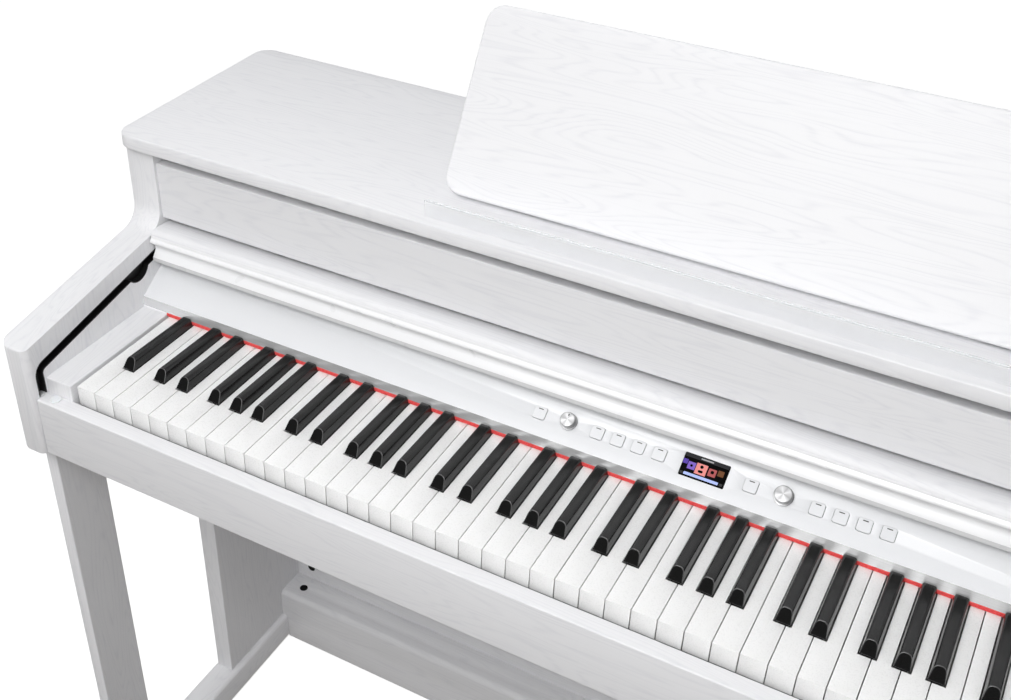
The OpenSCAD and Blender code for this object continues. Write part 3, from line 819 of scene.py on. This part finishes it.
def make_knob(node, x, r):
    """A spun cap of radius r with a rolled edge, on a shaft with a thin flange. Profiles are in mm."""
    body, place = body_of(node), on_panel(x, KNOB_ROW)
    shaft = [(3, -8), (3, 0.4)]
    flange = [(r + 1.3, 0.4), (r + 1.3, 1.2), (r + 0.9, 1.6), (r + 0.1, 1.7)]
    skirt = shaft + flange + [(r, 2.0), (r, 7.6), (r - 0.2, 7.95)]
    side = lathe(node + "_skirt", skirt, place, MAT["spun_side_painted_light_and_shade"], body)
    crown = [(r - 0.2, 7.95), (r - 0.45, 8.25), (r - 0.9, 8.45), (r - 1.3, KNOB_TOP),
             (0.05, KNOB_TOP)]
    top = lathe(node + "_crown", crown, place, MAT["spun_top_painted_highlights"], body)
    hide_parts(node)
    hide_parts(node)


def make_knobs():
    """Both knobs, and a dark oval on the volume knob's face: painted shade in place of its dimple."""
    make_knob("volume_knob", VOLUME_X, 7.4)
    dimple_shade = rounded_outline(1.3 * MM, 2.4 * MM, 0.6 * MM)
    place = on_panel(VOLUME_X, DIMPLE_ROW)
    plate("volume_dimple_shade", dimple_shade, DIMPLE_SHADE_LOW, DIMPLE_SHADE_HIGH, place, MAT["led"], "volume")
    make_knob("data_dial", DIAL_X, 8.0)


# The display. SCREEN_S is its centre up the panel's slope, in mm, and the two below are heights over
# the panel's face, in mm.
SCREEN_S = 22.35
SCREEN_BASE = 0.2
SIGN_LIFT = 0.36
SCREEN_GLOW = 0.2
# Lit tiles: name, x, s about the display's centre, width in mm and colour.
TILES = [("far_left", -18.9, 2.6, 4.6, (0.1, 0.06, 0.36)),
         ("left", -12.4, 0.0, 7.2, (0.2, 0.12, 0.5)),
         ("centre", -2.9, -0.6, 10.6, (0.72, 0.26, 0.24)),
         ("right", 7.6, -0.4, 7.4, (0.4, 0.1, 0.1)),
         ("far_right", 15.4, 1.4, 5.6, (0.15, 0.065, 0.03))]


def patch(name, x, s, w, h, colour, r=0.4, lift=0.3):
    """A lit patch of the display, w by h, about (x, s)."""
    plate("screen_" + name, rounded_outline(w * MM, h * MM, r * MM), SCREEN_BASE * MM, lift * MM,
          on_panel(x, SCREEN_S + s), glow("screen_" + name, colour, SCREEN_GLOW), "cabinet")


def sign(name, outline, x, s):
    """A plain dark sign on one of the tiles."""
    plate("screen_sign_" + name, outline, SCREEN_BASE * MM, SIGN_LIFT * MM,
          on_panel(x, SCREEN_S + s), MAT["screen"], "cabinet")


def make_display():
    """A dark window with a header, a row of coloured tiles, a bar and two dim corners."""
    rounded("display_screen", MAT["screen"], 0.0003, 2, 40)
    patch("header", 0, 9.3, 42.0, 3.6, (0.03, 0.03, 0.033))
    patch("title", 0, 9.2, 12.0, 1.3, (0.4, 0.4, 0.41), 0.5, 0.33)
    for name, x, s, w, colour in TILES:
        patch("tile_" + name, x, s, w, w, colour)
    patch("bar", -0.6, -8.4, 33.0, 2.7, (0.42, 0.5, 0.88), 0.5)
    for name, x in (("corner_left", -19.2), ("corner_right", 18.6)):
        patch(name, x, -8.6, 3.0, 2.6, (0.04, 0.04, 0.04))
    sign("dot", circle(1.6 * MM), -2.9, 1.8)
    sign("base", rounded_outline(4.6 * MM, 2.4 * MM, 1.0 * MM), -2.9, -2.8)
    for name, x, w in (("left", -12.4, 2.4), ("right", 7.6, 3.0)):
        sign(name, rounded_outline(w * MM, w * MM, 0.9 * MM), x, 0.1)


def make_panel():
    """The sloped panel, its bright front lip and everything on it."""
    rounded("control_panel", MAT["panel"], 0.0003, 2, 30)
    lip = [at(146.1, 4.8), at(149.05, 14.1), at(149.7, 13.8), at(146.7, 4.8)]
    extrude_x("panel_lip", lip, -INNER, INNER, MAT["lip"], "cabinet")
    make_buttons()
    make_knobs()
    make_display()


# ---------------------------------------------------------------- fallboard

# Heights in the cross-section, in mm, where the moulding's finish changes.
# Below FOOT_TOP the moulding takes the painted shade of the foot.
FOOT_TOP = 54.1
CROWN_LOW = 79


def moulding_finish(face):
    """Lacquer (0), wood on the crown's upward faces (1), and a foot greyed with painted shade (2)."""
    centre = face.calc_center_median()
    if centre.z > at(0, CROWN_LOW)[1] and face.normal.z > 0.3:
        return 1
    return 2 * int(centre.z < at(0, FOOT_TOP)[1])


def make_fallboard():
    """The moulded front rail, redrawn with fine arcs, and the sliding board behind it."""
    foot = [(169.8, 49.4), (170.2, 54)]
    cove = arc(169.5, 63.9, 6.5, -37, 52, 16)
    bead = arc(172, 74.3, 3.1, -65, -240, 28)
    crown = arc(179, 79, 7.5, 185, 94, 20)
    tail = [(201.2, 85.1), (206.2, 83.35), (208.4, 72.6), (200, 68), (181, 50.4)]
    outline = [at(*p) for p in foot + cove + bead + crown + tail]
    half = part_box("fallboard_moulding")[1].x
    faces = [MAT["lacquer"], MAT["wood_x"], MAT["foot"]]
    moulding = extrude_x("fallboard_moulding_piece", outline, -half, half, faces, "fallboard",
                         moulding_finish)
    soften(moulding, 0.0005, 3, 35)
    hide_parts("fallboard_moulding")
    rounded("fallboard_board", MAT["wood_x"], 0.0008, 2)


# ---------------------------------------------------------------- pedals

def make_pedals():
    """Three brass pedals with rounded edges."""
    for node in ("pedal_left", "pedal_middle", "pedal_right"):
        rounded(node, MAT["brass"], 0.002, 4, 40)


make_camera()
make_stage()
make_cabinet()
make_white_keys()
make_black_keys()
make_panel()
make_fallboard()
make_pedals()
